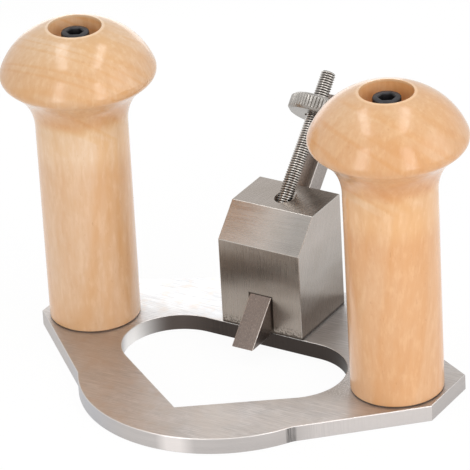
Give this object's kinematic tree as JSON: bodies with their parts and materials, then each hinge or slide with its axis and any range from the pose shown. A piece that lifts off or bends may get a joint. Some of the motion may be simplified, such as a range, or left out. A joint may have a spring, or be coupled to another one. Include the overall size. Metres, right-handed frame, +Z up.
{
  "type": "router plane",
  "caption": "Router plane: steel base with an open throat, a block holding an inclined square cutter set by a knurled nut on a stud, and two turned wooden handles.",
  "frame": {"origin": "on the sole, the flat underside of the base plate, under the middle of the cutter block", "axes": "+X to the right in a view of the nose, from one handle to the other; +Y from the nose to the rear; +Z up"},
  "size_m": [0.1798, 0.1404, 0.1194],
  "materials": {
    "steel": "brushed",
    "tool_steel": "ground",
    "bright_steel": "bright turned",
    "beech": "clear lacquer over turned beech or maple",
    "black_steel": "black oxide"
  },
  "bodies": {
    "base": {"base_plate": "steel", "cutter_block": "steel", "block_screws": "bright_steel", "adjuster_stud": "bright_steel", "left_handle": "beech", "right_handle": "beech", "left_handle_screw": "black_steel", "right_handle_screw": "black_steel"},
    "cutter": {"cutter": "tool_steel"},
    "nut": {"adjuster_nut": "bright_steel"},
    "lock": {"lock_screw": "bright_steel"}
  },
  "joints": [
    {"name": "cutter_slide", "type": "slide", "parent": "base", "child": "cutter", "axis": [0, 0.7071, 0.7071], "range_m": [-0.022, 0.008]},
    {"name": "nut_spin", "type": "hinge", "parent": "cutter", "child": "nut", "pos_m": [0, 0.02918, 0.0742], "axis": [0, 0.7071, 0.7071], "range_deg": [-8810, 3210]},
    {"name": "lock_turn", "type": "hinge", "parent": "base", "child": "lock", "pos_m": [0, 0.02, 0.027], "axis": [0, 1, 0], "range_deg": [0, 540]}
  ],
  "couplings": [
    {"joint": "nut_spin", "follows": "cutter_slide", "rad_per_m": 6981.3}
  ]
}
